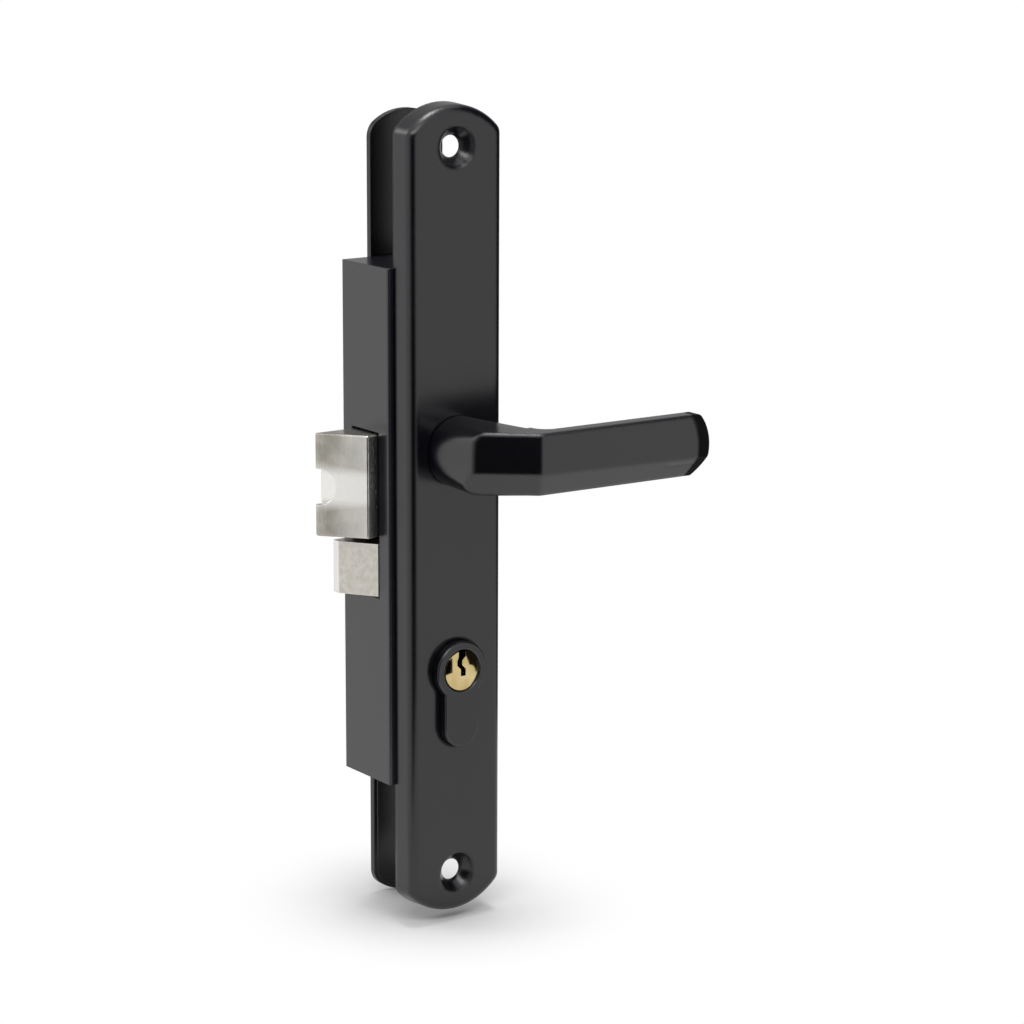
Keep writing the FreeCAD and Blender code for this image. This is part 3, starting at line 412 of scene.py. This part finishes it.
floorMaterial, tree = newMaterial("painted studio floor")
place = addNode(tree, "TexCoord").outputs["Object"]
middle = [metres(v) for v in floorLook["fadeMiddle"]] + [0.0]
fromMiddle = addNode(tree, "VectorMath", {1: middle}, {0: place}, operation="SUBTRACT")
flat = addNode(tree, "VectorMath", {1: (1.0, 1.0, 0.0)}, {0: fromMiddle.outputs[0]}, operation="MULTIPLY")
distance = addNode(tree, "VectorMath", links={0: flat.outputs[0]}, operation="LENGTH")
fade = addNode(
    tree, "MapRange", fromTo((metres(floorLook["fadeStart"]), metres(floorLook["fadeEnd"]))),
    {"Value": distance.outputs["Value"]}, interpolation_type="SMOOTHSTEP",
)
paint = addNode(tree, "BsdfDiffuse", {"Color": hexToLinear(floorLook["paint"])})
glow = addNode(tree, "Emission", {"Color": (1.0, 1.0, 1.0, 1.0), "Strength": 1.0})
ray = addNode(tree, "LightPath").outputs
seen = addNode(tree, "Math", links={0: ray["Is Camera Ray"], 1: ray["Is Glossy Ray"]}, operation="MAXIMUM")
share = addNode(tree, "Math", links={0: seen.outputs[0], 1: fade.outputs[0]}, operation="MULTIPLY")
mixed = addNode(tree, "MixShader", links={0: share.outputs[0], 1: paint.outputs[0], 2: glow.outputs[0]})
addNode(tree, "OutputMaterial", links={"Surface": mixed.outputs[0]})
floor = makeObject("floor", floorMesh)
floor.data.materials.append(floorMaterial)

# Dark and grey cards round the object, which show in its gloss alone. Each runs from one turn to another,
# in degrees to the left of the front. In metres: how near to the middle it lies on the floor at both ends,
# how high its foot stands at both, and its top.
cardRing = {"distance": 0.8, "lift": 0.002, "steps": 10}
cards = (
    {"turn": (-4, 62), "near": (0.28, 0.11), "foot": (0.0, 0.0), "top": 0.75, "tone": 0.003},
    {"turn": (-40, -55), "near": (0.8, 0.8), "foot": (0.4, 0.0), "top": 1.2, "tone": 0.004},
    {"turn": (-55, -75), "near": (0.7, 0.22), "foot": (0.0, 0.0), "top": 1.2, "tone": 0.012},
    {"turn": (-75, -110), "near": (0.22, 0.22), "foot": (0.0, 0.0), "top": 1.2, "tone": 0.03},
    {"turn": (-110, -200), "near": (0.2, 0.05), "foot": (0.0, 0.0), "top": 1.2, "tone": 0.45},
)


def cardPoint(turn, distance, height):
    base = floorLook["height"] + cardRing["lift"]
    return (-distance * math.sin(turn), -distance * math.cos(turn), base + height)


def between(limits, share):
    return limits[0] + (limits[1] - limits[0]) * share


def cardMesh(card):
    def build(shape):
        far = cardRing["distance"]
        rows = []
        for i in range(cardRing["steps"] + 1):
            share = i / cardRing["steps"]
            turn = math.radians(between(card["turn"], share))
            lying = cardPoint(turn, between(card["near"], share), 0.0)
            foot = cardPoint(turn, far, between(card["foot"], share))
            top = cardPoint(turn, far, card["top"])
            rows.append([shape.verts.new(point) for point in (lying, foot, top)])
        for left, right in zip(rows, rows[1:]):
            if min(card["near"]) < far:
                shape.faces.new((left[0], right[0], right[1], left[1]))
            shape.faces.new((left[1], right[1], right[2], left[2]))
    return build


for number, card in enumerate(cards):
    tone = card["tone"]
    cardMaterial, tree = newMaterial("studio card %d" % number)
    shine = addNode(tree, "Emission", {"Color": (tone, tone, tone, 1.0)})
    addNode(tree, "OutputMaterial", links={"Surface": shine.outputs[0]})
    piece = makeObject("card_%d" % number, cardMesh(card))
    piece.data.materials.append(cardMaterial)
    piece.visible_camera = False
    piece.visible_diffuse = False
    piece.visible_shadow = False

# World: white where it is seen, also in gloss and glass, and a softer fill on the object.
worldLook = {"seen": 1.0, "fill": 0.5}
world = bpy.data.worlds.new("studio")
scene.world = world
world.use_nodes = True
tree = world.node_tree
tree.nodes.clear()
ray = addNode(tree, "LightPath").outputs
seen = addNode(tree, "Math", links={0: ray["Is Camera Ray"], 1: ray["Is Glossy Ray"]}, operation="MAXIMUM")
clear = addNode(tree, "Math", links={0: seen.outputs[0], 1: ray["Is Transmission Ray"]}, operation="MAXIMUM")
strength = addNode(
    tree, "MapRange", fromTo((0.0, 1.0), (worldLook["fill"], worldLook["seen"])), {"Value": clear.outputs[0]}
)
backdrop = addNode(
    tree, "Background", {"Color": (1.0, 1.0, 1.0, 1.0)}, {"Strength": strength.outputs[0]}
)
addNode(tree, "OutputWorld", links={"Surface": backdrop.outputs[0]})

# Softboxes, in metres and watts, all aimed at one place just below the lever.
lampAim = (0.0, 0.0, -0.02)
lamps = (
    {"name": "top light", "place": (0.03, -0.03, 1.1), "size": (0.4, 0.4), "power": 5.5},
    {"name": "key light", "place": (-0.34, -0.56, 0.64), "size": (0.8, 0.25), "power": 2.8},
    {"name": "left light", "place": (-0.75, 0.75, 0.7), "size": (0.5, 0.5), "power": 2.0},
)
for box in lamps:
    lamp = bpy.data.lights.new(box["name"], "AREA")
    lamp.shape = "RECTANGLE"
    lamp.size, lamp.size_y = box["size"]
    lamp.energy = box["power"]
    holder = bpy.data.objects.new(box["name"], lamp)
    holder.location = box["place"]
    holder.rotation_euler = (Vector(lampAim) - Vector(box["place"])).to_track_quat("-Z", "Y").to_euler()
    scene.collection.objects.link(holder)
print("studio set")

# Camera solved from the outlines of the plate, the case and the lever in the photograph:
# lens, sensor and place in millimetres, angles in degrees.
view = {
    "lens": 108.04, "sensor": 36.0, "azimuth": 36.0, "down": 12.456, "roll": 0.235,
    "place": (-520.92, -753.96, 182.05), "clipStart": 10.0,
}
lens = bpy.data.cameras.new("camera")
lens.lens = view["lens"]
lens.sensor_width = view["sensor"]
lens.clip_start = metres(view["clipStart"])
camera = bpy.data.objects.new("camera", lens)
turn = Matrix.Rotation(-math.radians(view["azimuth"]), 4, "Z")
tilt = Matrix.Rotation(math.radians(90 - view["down"]), 4, "X")
roll = Matrix.Rotation(math.radians(view["roll"]), 4, "Z")
camera.matrix_world = Matrix.Translation([metres(v) for v in view["place"]]) @ turn @ tilt @ roll
scene.collection.objects.link(camera)
scene.camera = camera
print("camera set")
